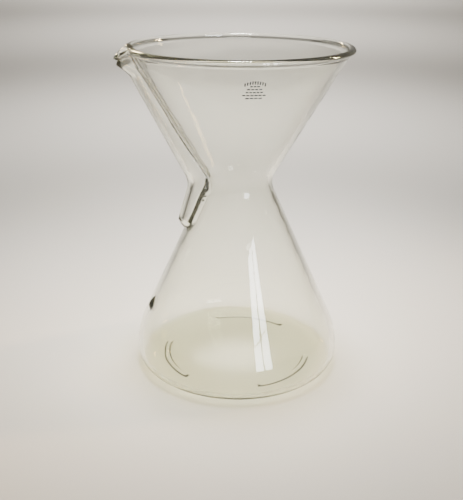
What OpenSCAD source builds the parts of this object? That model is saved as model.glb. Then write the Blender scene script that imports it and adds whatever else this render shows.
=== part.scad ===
// Hourglass pour-over coffee carafe, blown in one piece of clear glass.
// Millimetres. +Z is up and the carafe stands on z = 0. The pouring lip and the air
// channel lie on the -X side, in the plane y = 0.
// The glass is modelled zone by zone. Neighbouring zones meet face to face.

/* [Body] */
// Height of the rim above the table
total_h = 240; // [200:1:300]
// Thickness of the glass wall
wall_t = 3.8; // [2.5:0.1:5]
// Radius of the widest place, just above the base
base_r = 77.9; // [60:0.1:100]
// Height of the widest place
base_wide_z = 11.8; // [9:0.1:16]
// Radius of the large arc above the widest place
heel_upper_r = 55.1; // [35:0.1:70]
// Half-angle of the flask below the waist, in degrees
flask_angle = 24.4; // [15:0.1:35]

/* [Waist] */
// Outside radius at the narrowest place
waist_r = 25.1; // [20:0.1:35]
// Height of the narrowest place
waist_z = 143.5; // [120:0.1:170]
// Radius of the hollow curve at the waist
waist_fillet_r = 15.3; // [8:0.1:30]

/* [Funnel] */
// Half-angle of the funnel, in degrees
funnel_angle = 30; // [25:0.5:35]
// Outside radius of the rim bead
rim_r = 79; // [60:0.1:100]
// Half-width of the rim bead, measured across the glass
rim_half_w = 2.6; // [1.5:0.1:4]
// Half-height of the rim bead
rim_half_h = 2.2; // [1.5:0.1:4]

/* [Air channel] */
// Outside radius of the channel pressed out of the wall
chan_r = 11; // [8:0.1:14]
// Radius of the channel's hollow inside
chan_inner_r = 7.4; // [5:0.1:10]
// Distance of the channel's axis from the middle, at its upper end
chan_top_x = 65.6; // [55:0.1:75]
// Height of that upper end
chan_top_z = 225; // [200:0.5:235]
// Distance of the bend from the middle
chan_bend_x = 24.4; // [18:0.1:35]
// Height of the bend
chan_bend_z = 145; // [130:0.5:160]
// Distance of the channel's lower end from the middle
chan_foot_x = 33.3; // [25:0.1:45]
// Height of the channel's lower end
chan_foot_z = 116; // [100:0.5:125]
// Half-width of the strip of wall that carries the channel
chan_strip = 12; // [11.5:0.1:16]

/* [Pouring lip] */
// Half-width of the lip, to where it leaves the rim
lip_half_w = 18; // [12:0.5:26]
// Height where the lip starts to grow out of the channel
lip_z = 222; // [205:0.5:228]
// How far the tip stands out past the cone of the funnel
lip_reach = 11.6; // [6:0.1:16]
// How far the tip droops below the rim
lip_droop = 5.6; // [0:0.1:10]
// How far the rim is pulled in beside the lip
lip_pinch = 0.9; // [0:0.1:2]

/* [Base] */
// Height of the three foot arcs
foot_h = 1.3; // [0.5:0.1:2]
// Radius of the middle line of the foot arcs
foot_r = 55.35; // [40:0.05:65]
// Width of a foot arc
foot_w = 4.6; // [2:0.1:6]
// Length of a foot arc, in degrees
foot_span = 60; // [30:1:90]
// Direction of the middle of the first foot arc
foot_start = 66; // [0:1:120]
// Rise of the bottom towards the middle
punt_h = 2.5; // [0:0.1:6]
// Radius of the separate floor disc
floor_r = 50; // [40:0.5:52]

/* [Volume button] */
// Height of the button's middle
button_z = 50; // [38:0.5:80]
// Radius of the button on the wall
button_r = 6; // [4:0.1:9]
// How far the button stands out of the wall
button_h = 2.5; // [1:0.1:4]

/* [Enamel mark] */
// Height of the mark's middle
mark_z = 220.5; // [190:0.5:230]
// Direction of the mark's middle, from +X towards +Y
mark_dir = 266; // [180:0.1:360]
// Thickness of the fired enamel
mark_t = 0.15; // [0.1:0.05:0.4]
// Width of the widest row
mark_w = 14.6; // [8:0.1:24]
// Height of the ticks in the top row
mark_tick_h = 2.1; // [1:0.1:3]
// Height of the dashes in the other rows
mark_row_h = 0.8; // [0.5:0.1:1.5]
// Distance between rows
mark_pitch = 2; // [1.5:0.1:3]

/* [Hidden] */
$fn = 96;
big = 400;
// angles' tangents and cosines
tf = tan(funnel_angle);
cf = cos(funnel_angle);
tk = tan(flask_angle);
ck = cos(flask_angle);
// centre of the waist curve, and where it meets the two cones outside
waist_cx = waist_r + waist_fillet_r;
wf_r = waist_cx - waist_fillet_r * cf;
wf_z = waist_z + waist_fillet_r * sin(funnel_angle);
wk_r = waist_cx - waist_fillet_r * ck;
wk_z = waist_z - waist_fillet_r * sin(flask_angle);
// the same inside the wall
in_fillet = waist_fillet_r + wall_t;
vf_r = waist_cx - in_fillet * cf;
vf_z = waist_z + in_fillet * sin(funnel_angle);
vk_r = waist_cx - in_fillet * ck;
vk_z = waist_z - in_fillet * sin(flask_angle);
// heel arcs
heel_cx = base_r - heel_upper_r;
heel_top_z = base_wide_z + heel_upper_r * sin(flask_angle);
heel_low_r = base_wide_z - foot_h;
heel_low_cx = base_r - heel_low_r;
floor_z = foot_h + wall_t;
// heights of the cuts between zones
cut_rim = total_h - 5;
cut_funnel = 160;
cut_waist = 128;
cut_chan = 104;
cut_heel = heel_top_z;
// leans of the two channel legs
lean_up = atan2(chan_top_x - chan_bend_x, chan_top_z - chan_bend_z);
lean_dn = atan2(chan_foot_x - chan_bend_x, chan_bend_z - chan_foot_z);
// rim bead
rim_cx = rim_r - rim_half_w;
rim_cz = total_h - rim_half_h;

glass = [0.80, 0.86, 0.83, 0.35];
enamel = [0.16, 0.17, 0.16];

// outside and inside radius of the funnel, then of the flask, at height z
function fo(z) = wf_r + (z - wf_z) * tf;
function fi(z) = vf_r + (z - vf_z) * tf;
function ko(z) = wk_r + (wk_z - z) * tk;
function ki(z) = vk_r + (vk_z - z) * tk;

// points along an arc, from angle a0 to a1
function arc(cx, cz, r, a0, a1, n) = [
    for (i = [0:n]) let (a = a0 + (a1 - a0) * i / n) [cx + r * cos(a), cz + r * sin(a)]
];

// a strip of the glass on the -X side, half-width w, between two heights
module strip(w, z0, z1) {
    translate([-big, -w, z0])
        cube([big, 2 * w, z1 - z0]);
}

// half-section of the waist, solid inside
module waist_outline() {
    polygon(concat(
        [[0, cut_waist], [ko(cut_waist), cut_waist]],
        arc(waist_cx, waist_z, waist_fillet_r, 180 + flask_angle, 180 - funnel_angle, 18),
        [[fo(cut_funnel), cut_funnel], [0, cut_funnel]]
    ));
}

// half-section of the hollow in the waist, a little longer than the zone
module waist_hollow() {
    polygon(concat(
        [[0, cut_waist - 2], [ki(cut_waist - 2), cut_waist - 2]],
        arc(waist_cx, waist_z, in_fillet, 180 + flask_angle, 180 - funnel_angle, 18),
        [[fi(cut_funnel + 2), cut_funnel + 2], [0, cut_funnel + 2]]
    ));
}

// the channel's two legs as solid rods of radius r, each running a little past the bend;
// the upper one ends well above the lip, and the lower one has a round end
module channel_rod_up(r) {
    translate([-chan_bend_x, 0, chan_bend_z])
        rotate([0, -lean_up, 0])
            translate([0, 0, -r / 2])
                cylinder(r = r, h = 120);
}

module channel_rod_down(r) {
    leg = norm([chan_foot_x - chan_bend_x, chan_bend_z - chan_foot_z]);
    translate([-chan_bend_x, 0, chan_bend_z])
        rotate([0, 180 + lean_dn, 0])
            rotate_extrude()
                polygon(concat([[0, -r / 2], [r, -r / 2]], arc(0, leg, r, 0, 90, 14)));
}

module rim_bead() {
    color(glass)
        difference() {
            rotate_extrude()
                polygon(concat(
                    [[fi(cut_rim), cut_rim], [fo(cut_rim), cut_rim], [fo(cut_rim + 1.2), cut_rim + 1.2]],
                    arc(0, 0, 1, -20, 180, 20) * [[rim_half_w, 0], [0, rim_half_h]]
                        + [for (i = [0:20]) [rim_cx, rim_cz]]
                ));
            strip(lip_half_w, cut_rim - 1, total_h + 1);
        }
}

// smooth step from 0 to 1
function smooth(t) = let (u = max(0, min(1, t))) u * u * (3 - 2 * u);
// share of the lip's reach and droop at distance y from its middle: a pinched V
function vee(y) = pow(max(0, 1 - abs(y) / (0.8 * lip_half_w)), 1.25);
// the small pull inwards on both sides of the lip
function nip(y) = let (u = (abs(y) / lip_half_w - 0.72) / 0.28) max(0, 1 - u * u);
// height of the rim's top at distance y
function lip_top(y) = total_h - lip_droop * vee(y);
// axis of the channel at height z, and its horizontal reach at distance y
function ax(z) = chan_bend_x + (z - chan_bend_z) * tan(lean_up);
function bulge(y, z, r) = abs(y) >= r ? 0 : ax(z) + sqrt(r * r - y * y) / cos(lean_up);
// reach of plain wall with channel, outside and inside
function side_o(y, z) = max(sqrt(pow(fo(z), 2) - y * y), bulge(y, z, chan_r));
function side_i(y, z) = max(sqrt(pow(fi(z), 2) - y * y), bulge(y, z, chan_inner_r));
// the lip blends from that section into the V as it rises
function lip_s(y, z) = smooth((z - lip_z) / (lip_top(y) - 3 - lip_z));
function lip_o(y, z) = let (s = lip_s(y, z), c = sqrt(pow(fo(z), 2) - y * y))
    side_o(y, z) * (1 - s) + (c + lip_reach * vee(y) - lip_pinch * nip(y)) * s;
function lip_i(y, z) = let (s = lip_s(y, z), c = sqrt(pow(fi(z), 2) - y * y))
    side_i(y, z) * (1 - s) + (c + lip_reach * vee(y) - lip_pinch * nip(y)) * s;

// one cross-section of the lip in the plane y: pairs of outer and inner points, rising
lip_rows = 14;
lip_cols = 36;
function lip_pair(y, j) =
    let (
        u = j / lip_rows,
        zt = lip_top(y),
        zb = zt - rim_half_h,
        // the last rows close over the bead
        wallrow = 9,
        z = j <= wallrow ? lip_z + (zb - 1 - lip_z) * j / wallrow : zb,
        a = (j - wallrow) / (lip_rows - wallrow) * 90,
        xo = lip_o(y, zb),
        xi = lip_i(y, zb),
        mid = (xo + xi) / 2 + 0.9,
        hw = (xo - xi) / 2 + 0.6
    )
    j <= wallrow
        ? [[-lip_o(y, z), y, z], [-lip_i(y, z), y, z]]
        : [[-(mid + hw * cos(a - 12)), y, zb + rim_half_h * sin(a)],
           [-(mid - hw * cos(a)), y, zb + rim_half_h * sin(a)]];

module pouring_lip() {
    n = lip_rows + 1;
    ys = [for (i = [0:lip_cols]) -lip_half_w + 2 * lip_half_w * i / lip_cols];
    // points: outer column then inner column, for each station
    pts = [
        for (y = ys) each concat(
            [for (j = [0:lip_rows]) lip_pair(y, j)[0]],
            [for (j = [0:lip_rows]) lip_pair(y, j)[1]]
        )
    ];
    w = 2 * n;
    faces = concat(
        // outside
        [for (i = [0:lip_cols - 1], j = [0:n - 2]) [i * w + j, i * w + j + 1, (i + 1) * w + j]],
        [for (i = [0:lip_cols - 1], j = [0:n - 2]) [i * w + j + 1, (i + 1) * w + j + 1, (i + 1) * w + j]],
        // inside
        [for (i = [0:lip_cols - 1], j = [0:n - 2]) [i * w + n + j, (i + 1) * w + n + j, i * w + n + j + 1]],
        [for (i = [0:lip_cols - 1], j = [0:n - 2])
            [i * w + n + j + 1, (i + 1) * w + n + j, (i + 1) * w + n + j + 1]],
        // top and bottom strips
        [for (i = [0:lip_cols - 1]) [i * w + n - 1, i * w + w - 1, (i + 1) * w + n - 1]],
        [for (i = [0:lip_cols - 1]) [i * w + w - 1, (i + 1) * w + w - 1, (i + 1) * w + n - 1]],
        [for (i = [0:lip_cols - 1]) [i * w, (i + 1) * w, i * w + n]],
        [for (i = [0:lip_cols - 1]) [(i + 1) * w, (i + 1) * w + n, i * w + n]],
        // the two ends
        [for (j = [0:n - 2]) [j, n + j, j + 1]],
        [for (j = [0:n - 2]) [n + j, n + j + 1, j + 1]],
        [for (j = [0:n - 2]) let (b = lip_cols * w) [b + j, b + j + 1, b + n + j]],
        [for (j = [0:n - 2]) let (b = lip_cols * w) [b + n + j, b + j + 1, b + n + j + 1]]
    );
    color(glass)
        polyhedron(points = pts, faces = faces, convexity = 6);
}

module funnel_wall() {
    color(glass)
        difference() {
            rotate_extrude()
                polygon([
                    [fi(cut_funnel), cut_funnel], [fo(cut_funnel), cut_funnel],
                    [fo(cut_rim), cut_rim], [fi(cut_rim), cut_rim]
                ]);
            strip(chan_strip, cut_funnel - 1, lip_z + 1);
            strip(lip_half_w, lip_z, cut_rim + 1);
        }
}

module channel_upper() {
    color(glass)
        intersection() {
            strip(chan_strip, cut_funnel, lip_z);
            difference() {
                union() {
                    translate([0, 0, cut_funnel - 2])
                        cylinder(r1 = fo(cut_funnel - 2), r2 = fo(lip_z + 2), h = lip_z - cut_funnel + 4);
                    channel_rod_up(chan_r);
                }
                translate([0, 0, cut_funnel - 3])
                    cylinder(r1 = fi(cut_funnel - 3), r2 = fi(lip_z + 3), h = lip_z - cut_funnel + 6);
                channel_rod_up(chan_inner_r);
            }
        }
}

module waist_neck() {
    color(glass)
        difference() {
            rotate_extrude()
                waist_outline();
            rotate_extrude()
                waist_hollow();
            strip(chan_strip, cut_waist - 1, cut_funnel + 1);
        }
}

module channel_elbow() {
    color(glass)
        intersection() {
            strip(chan_strip, cut_waist, cut_funnel);
            difference() {
                union() {
                    rotate_extrude()
                        waist_outline();
                    channel_rod_up(chan_r);
                    channel_rod_down(chan_r);
                }
                rotate_extrude()
                    waist_hollow();
                channel_rod_up(chan_inner_r);
                channel_rod_down(chan_inner_r);
            }
        }
}

module flask_wall() {
    color(glass)
        difference() {
            rotate_extrude()
                polygon([
                    [ki(cut_heel), cut_heel], [ko(cut_heel), cut_heel],
                    [ko(cut_waist), cut_waist], [ki(cut_waist), cut_waist]
                ]);
            strip(chan_strip, cut_chan, cut_waist + 1);
        }
}

module channel_lower() {
    color(glass)
        intersection() {
            strip(chan_strip, cut_chan, cut_waist);
            difference() {
                union() {
                    translate([0, 0, cut_chan - 2])
                        cylinder(r1 = ko(cut_chan - 2), r2 = ko(cut_waist + 2), h = cut_waist - cut_chan + 4);
                    channel_rod_down(chan_r);
                }
                translate([0, 0, cut_chan - 3])
                    cylinder(r1 = ki(cut_chan - 3), r2 = ki(cut_waist + 3), h = cut_waist - cut_chan + 6);
                channel_rod_down(chan_inner_r);
            }
        }
}

module volume_button() {
    // a shallow lens standing on the flask wall, straight below the lip
    sr = (button_r * button_r + button_h * button_h) / (2 * button_h);
    color(glass)
        difference() {
            translate([-ko(button_z), 0, button_z])
                rotate([0, -(90 - flask_angle), 0])
                    translate([0, 0, button_h - sr])
                        sphere(r = sr);
            translate([0, 0, button_z - 20])
                cylinder(r1 = ko(button_z - 20), r2 = ko(button_z + 20), h = 40, $fn = 480);
        }
}

module flask_heel() {
    color(glass)
        rotate_extrude()
            polygon(concat(
                [[floor_r, foot_h]],
                arc(heel_low_cx, base_wide_z, heel_low_r, -90, 0, 12),
                arc(heel_cx, base_wide_z, heel_upper_r, flask_angle / 10, flask_angle, 9),
                [[ki(cut_heel), cut_heel]],
                arc(heel_cx, base_wide_z, heel_upper_r - wall_t, flask_angle, flask_angle / 10, 9),
                arc(heel_low_cx, base_wide_z, heel_low_r - wall_t, 0, -90, 12),
                [[floor_r, floor_z]]
            ));
}

module flask_floor() {
    // a disc that rises a little towards the middle, above and below
    color(glass)
        rotate_extrude()
            polygon(concat(
                [[0, foot_h + punt_h]],
                [for (i = [1:10]) let (u = i / 10) [floor_r * u, foot_h + punt_h * (1 - smooth(u))]],
                [for (i = [10:-1:1]) let (u = i / 10) [floor_r * u, floor_z + (punt_h + 0.4) * (1 - smooth(u))]],
                [[0, floor_z + punt_h + 0.4]]
            ));
}

module foot_arcs() {
    // three raised pads on one circle, that carry the carafe
    color(glass)
        for (k = [0:2])
            rotate([0, 0, foot_start - foot_span / 2 + 120 * k])
                rotate_extrude(angle = foot_span)
                    polygon([
                        [foot_r - foot_w / 2, foot_h], [foot_r - foot_w / 2 + 0.6, 0],
                        [foot_r + foot_w / 2 - 0.6, 0], [foot_r + foot_w / 2, foot_h]
                    ]);
}

// one bar of the mark as a post that crosses the wall, x across and z along the wall
module mark_post(x, z, w, h) {
    translate([x - w / 2, -big / 2, z - h / 2])
        cube([w, big / 2, h]);
}

// a row of n dashes that fills the width w, k rows above the middle one
module mark_row(k, n, w) {
    gap = 0.55;
    dash = (w - (n - 1) * gap) / n;
    for (i = [0:n - 1])
        mark_post(-w / 2 + dash / 2 + i * (dash + gap), mark_z + 0.8 + mark_pitch * k, dash, mark_row_h);
}

module enamel_mark() {
    // a shallow arc of ticks over five rows of short dashes, as a thin skin on the funnel
    low = mark_z - 12;
    high = mark_z + 12;
    tick_gap = mark_w * 0.85 / 8;
    color(enamel)
        intersection() {
            difference() {
                translate([0, 0, low])
                    cylinder(r1 = fo(low) + mark_t / cf, r2 = fo(high) + mark_t / cf, h = high - low);
                translate([0, 0, low - 1])
                    cylinder(r1 = fo(low - 1), r2 = fo(high + 1), h = high - low + 2);
            }
            rotate([0, 0, mark_dir - 270])
                union() {
                    for (k = [-4:4])
                        mark_post(tick_gap * k, mark_z + 5.3 - 0.084 * k * k, 0.75, mark_tick_h);
                    mark_row(1, 3, mark_w * 0.41);
                    mark_row(0, 4, mark_w * 0.64);
                    mark_row(-1, 5, mark_w * 0.73);
                    mark_row(-2, 6, mark_w);
                    mark_row(-3, 4, mark_w * 0.71);
                }
        }
}

rim_bead();
pouring_lip();
funnel_wall();
channel_upper();
waist_neck();
channel_elbow();
flask_wall();
channel_lower();
volume_button();
flask_heel();
flask_floor();
foot_arcs();
enamel_mark();
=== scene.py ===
import math

import bpy
import numpy as np
from mathutils import Matrix, Vector


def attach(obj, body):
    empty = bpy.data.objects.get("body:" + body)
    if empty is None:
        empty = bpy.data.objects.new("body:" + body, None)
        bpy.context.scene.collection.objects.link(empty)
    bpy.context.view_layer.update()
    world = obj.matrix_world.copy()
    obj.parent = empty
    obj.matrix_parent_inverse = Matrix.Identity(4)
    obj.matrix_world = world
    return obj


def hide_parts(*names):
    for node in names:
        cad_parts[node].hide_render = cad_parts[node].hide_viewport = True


# Hourglass pour-over carafe in clear glass. Metres, +Z up, the lip and the air channel on the -X side.
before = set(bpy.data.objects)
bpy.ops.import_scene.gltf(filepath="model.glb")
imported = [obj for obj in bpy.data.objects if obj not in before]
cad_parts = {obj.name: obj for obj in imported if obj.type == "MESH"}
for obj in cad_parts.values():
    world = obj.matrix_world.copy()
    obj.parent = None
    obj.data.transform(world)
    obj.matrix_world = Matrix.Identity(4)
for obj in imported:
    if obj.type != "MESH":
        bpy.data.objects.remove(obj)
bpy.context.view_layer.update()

MM = 0.001

# ---- dimensions in millimetres, as the CAD model has them. The cones' angles are turned into radians. ----
TOTAL_H = 240.0
WALL_T = 3.8
BASE_R = 77.9
BASE_WIDE_Z = 11.8
HEEL_UPPER_R = 55.1
FLASK_ANGLE = math.radians(24.4)
WAIST_R = 25.1
WAIST_Z = 143.5
WAIST_FILLET = 15.3
FUNNEL_ANGLE = math.radians(30.0)
RIM_R = 79.0
RIM_HALF_W = 2.6
RIM_HALF_H = 2.2
CHAN_R = 11.0
CHAN_IN_R = 7.4
# (distance from the middle, height) of the channel's axis at its ends and its bend
CHAN_TOP = (65.6, 225.0)
CHAN_BEND = (24.4, 145.0)
CHAN_FOOT = (33.3, 116.0)
LIP_HALF_W = 18.0
LIP_Z = 222.0
LIP_REACH = 11.6
LIP_DROOP = 5.6
LIP_PINCH = 0.9
FOOT_H = 1.3
FOOT_R = 55.35
FOOT_W = 4.6
FOOT_SPAN = 60.0  # degrees
FOOT_START = 66.0  # degrees
FLOOR_R = 50.0
PUNT_H = 2.5
BUTTON_Z = 50.0
BUTTON_R = 6.0
MARK_DIR = 266.0  # degrees

# ---- worked out from them ----
WAIST_CX = WAIST_R + WAIST_FILLET
FUNNEL_TAN = math.tan(FUNNEL_ANGLE)
FUNNEL_COS = math.cos(FUNNEL_ANGLE)
FUNNEL_SIN = math.sin(FUNNEL_ANGLE)
FLASK_TAN = math.tan(FLASK_ANGLE)
FLASK_COS = math.cos(FLASK_ANGLE)
FLASK_SIN = math.sin(FLASK_ANGLE)
HEEL_CX = BASE_R - HEEL_UPPER_R
HEEL_LOW_R = BASE_WIDE_Z - FOOT_H
HEEL_LOW_CX = BASE_R - HEEL_LOW_R
LEAN_UP = math.atan2(CHAN_TOP[0] - CHAN_BEND[0], CHAN_TOP[1] - CHAN_BEND[1])
LEAN_DOWN = math.atan2(CHAN_FOOT[0] - CHAN_BEND[0], CHAN_BEND[1] - CHAN_FOOT[1])

# ---- the skin's own soft shapes, in millimetres ----
PUNT_EXTRA = 0.4  # the floor is this much thicker in its middle
LEG_OVERLAP = 14.0  # each leg of the channel runs on this far past the bend
LEG_FADE = 6.0
LEG_BLEND_OUT = 5.0  # blend between the two legs
LEG_BLEND_IN = 4.0
WALL_BLEND_OUT = 1.6  # blend between the channel and the wall
WALL_BLEND_IN = 2.0
CHAN_LOWEST = 95.0
CHAN_FADE = 13.0  # the channel fades out over this height above LIP_Z
LIP_TUCK = 4.2  # the lip is drawn back this far at the rim
LIP_TUCK_Z = 231.0
LIP_TIP_SOFT = 1.2  # square millimetres
BUTTON_RISE = 2.28  # how far the button stands out, square to the wall
BUTTON_HIGHEST = 90.0
FOOT_END = 1.6  # degrees over which the end of a foot arc runs out
SLOW_INSIDE = 0.26
SLOW_OUTSIDE = 0.10
FINE_INSIDE = 0.030
FINE_OUTSIDE = 0.008
# (turns, height waves, size, start)
SLOW_WAVES = ((1, 1, 0.50, 0.3), (2, 1, 0.34, 1.7), (3, 2, 0.20, 2.9), (5, 1, 0.12, 0.8), (2, 4, 0.13, 4.1))
# (turns, length in height, size, start)
FINE_WAVES = (
    (9, 17.0, 0.42, 0.2), (14, 13.0, 0.34, 2.2), (-11, 15.0, 0.36, 4.0),
    (19, 29.0, 0.22, 1.1), (-6, 11.0, 0.26, 5.2),
)

# ---- spacing of the mesh's rows. In (height, step), the rows below that height are step apart. ----
FUNNEL_ROWS = ((172.0, 0.7), (215.0, 2.0), (TOTAL_H, 0.9))
FLASK_ROWS = ((100.0, 2.6), (TOTAL_H, 0.7))
FLASK_ROWS_WITH_BUTTON = ((BUTTON_Z - 9.0, 2.0), (BUTTON_Z + 9.0, 0.7)) + FLASK_ROWS
CLOSEST_ROWS = 0.3
FOOT_MARGIN = 0.45  # the rows are close together this far beyond the edges of the foot arcs
FLOOR_POINTS = 12


def smooth(t):
    """Smooth step from 0 to 1."""
    u = np.clip(t, 0.0, 1.0)
    return u * u * (3.0 - 2.0 * u)


def soft_max(a, b, blend):
    """Larger of a and b, with a round blend of about that size between them."""
    h = np.clip(0.5 + 0.5 * (a - b) / blend, 0.0, 1.0)
    return b + (a - b) * h + blend * h * (1.0 - h)


# ---- outline of the wall ----
def arc(cx, cz, r, first, last, n):
    """n points along an arc, from one angle to another in degrees."""
    angles = np.radians(np.linspace(first, last, n))
    return [(cx + r * math.cos(a), cz + r * math.sin(a)) for a in angles]


def line(p, q, n):
    """n points from p towards q, without q."""
    return [(p[0] + (q[0] - p[0]) * i / n, p[1] + (q[1] - p[1]) * i / n) for i in range(n)]


def steps(p, q, rows):
    """Points from p towards q, without q, spaced in height as rows says."""
    z = p[1]
    found = []
    way = 1.0 if q[1] > z else -1.0
    while (q[1] - z) * way > CLOSEST_ROWS:
        t = (z - p[1]) / (q[1] - p[1])
        found.append((p[0] + (q[0] - p[0]) * t, z))
        z += way * next(step for top, step in rows if z < top)
    return found


def funnel_out(z):
    """Outside radius of the funnel at height z."""
    start_z = WAIST_Z + WAIST_FILLET * FUNNEL_SIN
    return WAIST_CX - WAIST_FILLET * FUNNEL_COS + (z - start_z) * FUNNEL_TAN


def funnel_in(z):
    """Inside radius of the funnel at height z."""
    fillet = WAIST_FILLET + WALL_T
    return WAIST_CX - fillet * FUNNEL_COS + (z - (WAIST_Z + fillet * FUNNEL_SIN)) * FUNNEL_TAN


def flask_out(z):
    """Outside radius of the flask's cone at height z."""
    start_z = WAIST_Z - WAIST_FILLET * FLASK_SIN
    return WAIST_CX - WAIST_FILLET * FLASK_COS + (start_z - z) * FLASK_TAN


def outside_points():
    """From the bottom's middle, along the floor and up the outside to just below the rim."""
    funnel, flask = math.degrees(FUNNEL_ANGLE), math.degrees(FLASK_ANGLE)
    points = [
        (float(u * FLOOR_R), float(FOOT_H + PUNT_H * (1.0 - smooth(u))))
        for u in np.linspace(0.0, 1.0, FLOOR_POINTS)[1:-1]
    ]
    foot_in = FOOT_R - FOOT_W / 2.0 - FOOT_MARGIN
    foot_out = FOOT_R + FOOT_W / 2.0 + FOOT_MARGIN
    for r0, r1, n in ((FLOOR_R, foot_in, 3), (foot_in, foot_out, 24), (foot_out, HEEL_LOW_CX, 5)):
        points += line((r0, FOOT_H), (r1, FOOT_H), n)
    points += arc(HEEL_LOW_CX, BASE_WIDE_Z, HEEL_LOW_R, -90, 0, 15)
    points += arc(HEEL_CX, BASE_WIDE_Z, HEEL_UPPER_R, 2, flask, 10)
    waist = arc(WAIST_CX, WAIST_Z, WAIST_FILLET, 180 + flask, 180 - funnel, 23)
    points += steps(points[-1], waist[0], FLASK_ROWS_WITH_BUTTON)[1:] + waist
    top_z = TOTAL_H - 5.0
    rim_z = TOTAL_H - 4.0
    top = (funnel_out(top_z), top_z)
    points += steps(waist[-1], top, FUNNEL_ROWS)[1:]
    return points + [top, (funnel_out(rim_z), rim_z)]


def rim_points():
    """Over the rim bead, from outside to inside."""
    return [
        (RIM_R - RIM_HALF_W + RIM_HALF_W * math.cos(a), TOTAL_H - RIM_HALF_H + RIM_HALF_H * math.sin(a))
        for a in np.radians(np.linspace(-22, 188, 19))
    ]


def inside_points():
    """From just below the rim down the inside, to the middle of the floor."""
    funnel, flask = math.degrees(FUNNEL_ANGLE), math.degrees(FLASK_ANGLE)
    waist = arc(WAIST_CX, WAIST_Z, WAIST_FILLET + WALL_T, 180 - funnel, 180 + flask, 27)
    top_z = TOTAL_H - 4.6
    top = (funnel_in(top_z), top_z)
    points = steps(top, waist[0], FUNNEL_ROWS) + waist
    heel = arc(HEEL_CX, BASE_WIDE_Z, HEEL_UPPER_R - WALL_T, flask, 2, 10)
    points += steps(waist[-1], heel[0], FLASK_ROWS)[1:] + heel
    points += arc(HEEL_LOW_CX, BASE_WIDE_Z, HEEL_LOW_R - WALL_T, 0, -90, 12)
    floor_z = FOOT_H + WALL_T
    points += line((HEEL_LOW_CX, floor_z), (FLOOR_R, floor_z), 5)[1:]
    return points + [
        (float(u * FLOOR_R), float(floor_z + (PUNT_H + PUNT_EXTRA) * (1.0 - smooth(u))))
        for u in np.linspace(1.0, 0.0, FLOOR_POINTS)[:-1]
    ]


def half_section():
    """The whole outline of the wall. Each point is (r, z, side), with side 1 outside, 0 inside, and in
    between over the rim."""
    rim = rim_points()
    points = [(r, z, 1.0) for r, z in outside_points()]
    points += [(r, z, 1.0 - i / (len(rim) - 1)) for i, (r, z) in enumerate(rim)]
    points += [(r, z, 0.0) for r, z in inside_points()]
    return np.array(points)


def around():
    """Angles from the lip's direction, close together at the channel and the lip."""
    near = np.arange(0.0, 12.0, 0.45)
    mid = np.arange(12.0, 34.0, 0.85)
    far = np.linspace(34.0, 180.0, 90)
    half = np.concatenate([near, mid, far])
    return np.radians(np.concatenate([half, -half[1:-1][::-1]]))


# ---- what stands out of the plain wall. phi is the angle from the lip's direction. ----
def rod_reach(phi, axis_x, half_x, half_y):
    """How far the ray at angle phi goes before it leaves an ellipse centred at axis_x; 0 where it
    misses."""
    cos, sin = np.cos(phi), np.sin(phi)
    # the larger root of a t^2 + b t + c = 0
    a = (cos / half_x) ** 2 + (sin / half_y) ** 2
    b = -2.0 * cos * axis_x / half_x**2
    c = (axis_x / half_x) ** 2 - 1.0
    disc = b * b - 4.0 * a * c
    t = (-b + np.sqrt(np.maximum(disc, 0.0))) / (2.0 * a)
    return np.where((disc > 0.0) & (cos > 0.3), t, 0.0)


def channel_reach(phi, z, r):
    """Reach of the air channel's two legs at angle phi and height z, for rods of radius r."""
    bend_x, bend_z = CHAN_BEND
    foot_x, foot_z = CHAN_FOOT
    up_x = bend_x + (z - bend_z) * math.tan(LEAN_UP)
    down_x = bend_x + (bend_z - z) * math.tan(LEAN_DOWN)
    up = rod_reach(phi, up_x, r / math.cos(LEAN_UP), r)
    down = rod_reach(phi, down_x, r / math.cos(LEAN_DOWN), r)
    up = np.where(z > bend_z - LEG_OVERLAP, up * smooth((z - bend_z + LEG_OVERLAP) / LEG_FADE), 0.0)
    down = np.where(z < bend_z + LEG_OVERLAP, down * smooth((bend_z + LEG_OVERLAP - z) / LEG_FADE), 0.0)
    down = np.where(z > foot_z, down, 0.0)
    # the round lower end
    below = foot_z + 2.0 - z
    end_r = np.sqrt(np.maximum(r * r - below * below, 0.0)) + 1e-6
    end = np.where((below >= 0.0) & (below < r), rod_reach(phi, foot_x, end_r, end_r), 0.0)
    return up, np.maximum(down, end)


def channel_bulge(phi, rad, z, inner):
    """How far the air channel stands out of the wall, fading out into the lip."""
    up_out, down_out = channel_reach(phi, z, CHAN_R)
    up_in, down_in = channel_reach(phi, z, CHAN_IN_R)
    reach_out = soft_max(up_out, down_out, LEG_BLEND_OUT)
    reach_in = soft_max(up_in, down_in, LEG_BLEND_IN)
    with_out = np.where(reach_out > 1.0, soft_max(rad, reach_out, WALL_BLEND_OUT), rad)
    with_in = np.where(reach_in > 1.0, soft_max(rad, reach_in, WALL_BLEND_IN), rad)
    near = smooth((np.cos(phi) - 0.80) / 0.06) * (z > CHAN_LOWEST)
    fade = 1.0 - smooth((z - LIP_Z) / CHAN_FADE)
    return (np.where(inner, with_in, with_out) - rad) * near * fade


def lip_share(y):
    """Share of the lip's reach and droop at distance y from its middle: a V with a soft tip."""
    soft_y = np.sqrt(y * y + LIP_TIP_SOFT)
    return np.maximum(0.0, 1.0 - soft_y / (0.8 * LIP_HALF_W)) ** 1.25


def nip_share(y):
    """Share of the small pull inwards on both sides of the lip."""
    u = (np.abs(y) / LIP_HALF_W - 0.72) / 0.34
    return np.maximum(0.0, 1.0 - u * u) ** 2


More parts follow.
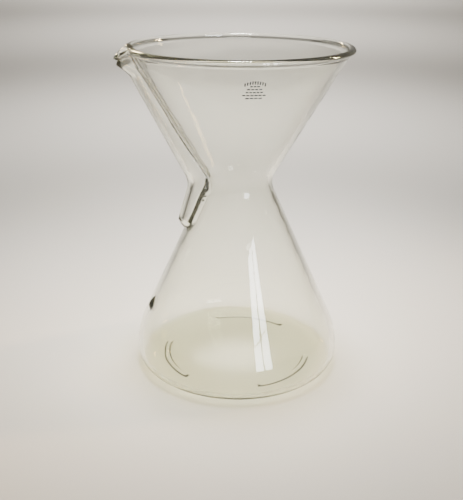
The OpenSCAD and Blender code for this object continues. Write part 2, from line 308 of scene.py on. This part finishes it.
def lip_bulge(y, z, facing):
    """How far the lip pulls the wall out, and how far it lowers it."""
    share = np.where(facing, lip_share(y), 0.0)
    nip = np.where(facing, nip_share(y), 0.0)
    rise = smooth((z - LIP_Z + 2.0) / 15.0)
    tuck = LIP_TUCK * smooth((z - LIP_TUCK_Z) / 7.0)
    out = rise * ((LIP_REACH - tuck) * share - LIP_PINCH * nip)
    return out, LIP_DROOP * share * smooth((z - LIP_Z) / 14.0)


def button_bulge(phi, z, outer):
    """How far the volume button stands out, on the flask straight below the lip."""
    along = (z - BUTTON_Z) / FLASK_COS
    across = flask_out(BUTTON_Z) * np.sin(phi)
    share = np.maximum(0.0, 1.0 - (along**2 + across**2) / BUTTON_R**2) ** 1.5
    return np.where(outer & (z < BUTTON_HIGHEST), share * BUTTON_RISE / FLASK_COS, 0.0)


def foot_drop(degrees, rad, z, outer):
    """How far the three foot arcs reach down from the bottom."""
    off = (degrees - FOOT_START + 60.0) % 120.0 - 60.0
    length = smooth((FOOT_SPAN / 2.0 + FOOT_END / 2.0 - np.abs(off)) / FOOT_END)
    round_top = np.maximum(0.0, 1.0 - ((rad - FOOT_R) / (FOOT_W / 2.0)) ** 2) ** 0.5
    return np.where((z < FOOT_H + 0.05) & outer, FOOT_H * length * round_top, 0.0)


def ripple(phi, z, seed):
    """The slow unevenness of hand-blown glass. The seed shifts it along."""
    return sum(a * np.sin(k * phi + m * z / 38.0 + p + seed * 1.9) for k, m, a, p in SLOW_WAVES)


def dimple(phi, z):
    """The fine unevenness that breaks up highlights."""
    twist = 0.8 * np.sin(3.0 * phi + z / 23.0)
    return sum(a * np.sin(k * phi + 2.0 * math.pi * z / w + p + twist) for k, w, a, p in FINE_WAVES)


def unevenness(phi, degrees, z, inner):
    """How far the wall wavers: mostly inside, a little outside, and not at the rim or the base. Outside,
    the slow waves also leave out the mark's direction and the lowest part of the flask."""
    calm = smooth((z - 6.0) / 20.0) * (1.0 - smooth((z - 222.0) / 10.0))
    beside_mark = smooth((np.abs(degrees - MARK_DIR) - 7.0) / 6.0) * smooth((z - 60.0) / 20.0)
    fine = dimple(phi, z)
    inside = SLOW_INSIDE * ripple(phi, z, 1.0) + FINE_INSIDE * fine
    outside = FINE_OUTSIDE * fine - SLOW_OUTSIDE * (1.0 + ripple(phi, z, 0.0)) * beside_mark
    return np.where(inner, inside, outside) * calm


def vessel_grid(phi_steps, section):
    """Points of the whole vessel: one row for each point of the section, one column for each angle."""
    phi, rad = np.meshgrid(phi_steps, section[:, 0])
    z = np.repeat(section[:, 1][:, None], len(phi_steps), axis=1)
    side = np.repeat(section[:, 2][:, None], len(phi_steps), axis=1)
    inner = side < 0.5
    outer = side > 0.5
    facing = np.cos(phi) > 0.5
    degrees = (np.degrees(phi) + 180.0) % 360.0
    lip_out, lip_down = lip_bulge(rad * np.sin(phi), z, facing)
    r = rad + channel_bulge(phi, rad, z, inner) + lip_out
    r = r + button_bulge(phi, z, outer & facing) + unevenness(phi, degrees, z, inner)
    height = z - lip_down - foot_drop(degrees, rad, z, outer)
    return -r * np.cos(phi), -r * np.sin(phi), height


def build_vessel():
    """The glass as one closed mesh: the grid, closed by a fan at the middle of each side of the floor."""
    x, y, z = vessel_grid(around(), half_section())
    rows, columns = x.shape
    verts = [(x[i, j] * MM, y[i, j] * MM, z[i, j] * MM) for i in range(rows) for j in range(columns)]
    bottom = len(verts)
    top = bottom + 1
    verts.append((0.0, 0.0, (FOOT_H + PUNT_H) * MM))
    verts.append((0.0, 0.0, (FOOT_H + WALL_T + PUNT_H + PUNT_EXTRA) * MM))
    faces = []
    for i in range(rows - 1):
        for j in range(columns):
            k = (j + 1) % columns
            faces.append((i * columns + j, i * columns + k, (i + 1) * columns + k, (i + 1) * columns + j))
    last_row = (rows - 1) * columns
    for j in range(columns):
        k = (j + 1) % columns
        faces.append((bottom, k, j))
        faces.append((top, last_row + j, last_row + k))
    mesh = bpy.data.meshes.new("glass_vessel")
    mesh.from_pydata(verts, [], faces)
    mesh.validate()
    mesh.update()
    for polygon in mesh.polygons:
        polygon.use_smooth = True
    vessel = bpy.data.objects.new("glass_vessel", mesh)
    bpy.context.scene.collection.objects.link(vessel)
    return vessel


# ---- materials ----
def glass_material():
    """Clear glass, faintly olive in depth. Shadow rays pass through it, so its shadow stays light. The
    trace of diffuse keeps light that is trapped in the rim from going black."""
    material = bpy.data.materials.new("clear_glass")
    material.use_nodes = True
    tree = material.node_tree
    tree.nodes.clear()
    output = tree.nodes.new("ShaderNodeOutputMaterial")
    mix = tree.nodes.new("ShaderNodeMixShader")
    light_path = tree.nodes.new("ShaderNodeLightPath")
    clear = tree.nodes.new("ShaderNodeBsdfTransparent")
    clear.inputs["Color"].default_value = (0.74, 0.75, 0.72, 1.0)
    glass = tree.nodes.new("ShaderNodeBsdfPrincipled")
    glass.inputs["Base Color"].default_value = (0.985, 0.985, 0.955, 1.0)
    glass.inputs["Roughness"].default_value = 0.0
    glass.inputs["IOR"].default_value = 1.473
    glass.inputs["Transmission Weight"].default_value = 0.994
    depth = tree.nodes.new("ShaderNodeVolumeAbsorption")
    depth.inputs["Color"].default_value = (0.70, 0.73, 0.47, 1.0)
    depth.inputs["Density"].default_value = 24.0
    tree.links.new(light_path.outputs["Is Shadow Ray"], mix.inputs[0])
    tree.links.new(glass.outputs[0], mix.inputs[1])
    tree.links.new(clear.outputs[0], mix.inputs[2])
    tree.links.new(mix.outputs[0], output.inputs["Surface"])
    tree.links.new(depth.outputs[0], output.inputs["Volume"])
    return material


def enamel_material():
    """Dark fired enamel, unevenly worn."""
    material = bpy.data.materials.new("fired_enamel")
    material.use_nodes = True
    tree = material.node_tree
    enamel = tree.nodes["Principled BSDF"]
    enamel.inputs["Roughness"].default_value = 0.62
    place = tree.nodes.new("ShaderNodeTexCoord")
    wear = tree.nodes.new("ShaderNodeTexNoise")
    wear.inputs["Scale"].default_value = 900.0
    wear.inputs["Detail"].default_value = 3.0
    ramp = tree.nodes.new("ShaderNodeValToRGB")
    dark, light = ramp.color_ramp.elements
    dark.position = 0.35
    dark.color = (0.012, 0.014, 0.020, 1)
    light.position = 0.70
    light.color = (0.05, 0.056, 0.068, 1)
    tree.links.new(place.outputs["Object"], wear.inputs["Vector"])
    tree.links.new(wear.outputs["Fac"], ramp.inputs[0])
    tree.links.new(ramp.outputs[0], enamel.inputs["Base Color"])
    return material


# ---- floor, world, lights and camera, in metres, degrees and watts ----
FLOOR_HALF = 14.0
VIEW_DIR = 78.51  # the direction that the camera looks in, from +X towards +Y
CAMERA_AT = (-0.1083, -0.5097, 0.3015)
CAMERA_PITCH = 22.246
CAMERA_ROLL = 0.408
SENSOR_HEIGHT = 24.0  # millimetres
LENS = 35.55312  # millimetres
DAYLIGHT = (0.92, 0.96, 1.0)
SOFT_WHITE = (1.0, 0.98, 0.95)
WARM = (1.0, 0.70, 0.34)


def build_floor():
    mesh = bpy.data.meshes.new("floor")
    corners = [(x * FLOOR_HALF, y * FLOOR_HALF, 0) for x, y in ((-1, -1), (1, -1), (1, 1), (-1, 1))]
    mesh.from_pydata(corners, [], [(0, 1, 2, 3)])
    floor = bpy.data.objects.new("floor", mesh)
    bpy.context.scene.collection.objects.link(floor)
    material = bpy.data.materials.new("pale_floor")
    material.use_nodes = True
    surface = material.node_tree.nodes["Principled BSDF"]
    surface.inputs["Base Color"].default_value = (0.48, 0.455, 0.415, 1)
    surface.inputs["Roughness"].default_value = 0.75
    mesh.materials.append(material)
    return floor


def build_world():
    world = bpy.data.worlds.new("studio")
    bpy.context.scene.world = world
    world.use_nodes = True
    background = world.node_tree.nodes["Background"]
    background.inputs["Color"].default_value = (0.95, 0.90, 0.80, 1)
    background.inputs["Strength"].default_value = 0.31


def around_object(azimuth, distance, height):
    """A point round the carafe. The azimuth is in degrees from the camera's side, positive to the
    camera's right."""
    a = math.radians(VIEW_DIR + 180.0 + azimuth)
    return Vector((math.cos(a) * distance, math.sin(a) * distance, height))


def softbox(name, at, aim, width, height, power, color, spread):
    """A rectangular light that points at aim, with its beam's spread in degrees."""
    lamp = bpy.data.lights.new(name, "AREA")
    lamp.shape = "RECTANGLE"
    lamp.size = width
    lamp.size_y = height
    lamp.energy = power
    lamp.color = color
    lamp.spread = math.radians(spread)
    light = bpy.data.objects.new(name, lamp)
    bpy.context.scene.collection.objects.link(light)
    light.location = at
    light.rotation_euler = (Vector(aim) - at).to_track_quat("-Z", "Y").to_euler()


def build_window():
    """A tall window of two columns and three rows of panes, to the camera's right."""
    aim = (0.0, 0.0, 0.12)
    distance = 2.4
    width = 0.335
    power = 0.75
    spread = 40.0
    azimuths = (24.4, 34.2)
    heights = ((0.02, 0.39), (0.415, 0.79), (0.825, 1.20))
    for column, azimuth in enumerate(azimuths):
        for row, (low, high) in enumerate(heights):
            at = around_object(azimuth, distance, (low + high) / 2.0)
            softbox(f"pane_{column}_{row}", at, aim, width, high - low, power, DAYLIGHT, spread)


def build_overheads():
    """Soft lights that shine straight down, in a row that leads away from the camera and widens.
    Each is (distance behind the carafe, height, size, spread, power)."""
    lamps = (
        (0.10, 1.5, 0.25, 30.0, 2.4), (0.85, 2.2, 0.5, 40.0, 7.6),
        (2.4, 3.0, 1.0, 50.0, 19.0), (4.8, 3.6, 2.0, 64.0, 60.0),
    )
    for i, (distance, height, size, spread, power) in enumerate(lamps):
        at = around_object(180.0, distance, height)
        aim = around_object(180.0, distance, 0.0)
        softbox(f"overhead_{i}", at, aim, size, size, power, SOFT_WHITE, spread)


def build_warm_lamps():
    """Two lamps that only glint in the glass."""
    aim = (0.0, 0.0, 0.2)
    softbox("warm_strip", around_object(108.0, 1.7, 0.85), aim, 0.20, 0.55, 1.4, WARM, 16.0)
    softbox("warm_lamp_back", around_object(-160.0, 1.7, 0.9), aim, 0.16, 0.16, 0.3, WARM, 30.0)


def build_camera():
    optics = bpy.data.cameras.new("camera")
    optics.sensor_fit = "VERTICAL"
    optics.sensor_height = SENSOR_HEIGHT
    optics.lens = LENS
    optics.clip_end = 60.0
    camera = bpy.data.objects.new("camera", optics)
    bpy.context.scene.collection.objects.link(camera)
    bpy.context.scene.camera = camera
    heading, pitch, roll = (math.radians(a) for a in (VIEW_DIR, CAMERA_PITCH, CAMERA_ROLL))
    forward = Vector((
        math.cos(heading) * math.cos(pitch), math.sin(heading) * math.cos(pitch), -math.sin(pitch)
    ))
    level_right = Vector((math.sin(heading), -math.cos(heading), 0.0))
    level_up = level_right.cross(forward)
    right = math.cos(roll) * level_right + math.sin(roll) * level_up
    up = -math.sin(roll) * level_right + math.cos(roll) * level_up
    turn = Matrix((right, up, -forward)).transposed()
    camera.matrix_world = Matrix.Translation(CAMERA_AT) @ turn.to_4x4()


# ---- the scene ----
vessel = build_vessel()
vessel.data.materials.append(glass_material())
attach(vessel, "root")
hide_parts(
    "rim_bead", "pouring_lip", "funnel_wall", "channel_upper", "waist_neck",
    "channel_elbow", "flask_wall", "channel_lower", "volume_button", "flask_heel",
    "flask_floor", "foot_arcs",
)
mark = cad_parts["enamel_mark"]
mark.data.materials.clear()
mark.data.materials.append(enamel_material())

floor = build_floor()
build_world()
build_window()
build_overheads()
build_warm_lamps()
build_camera()
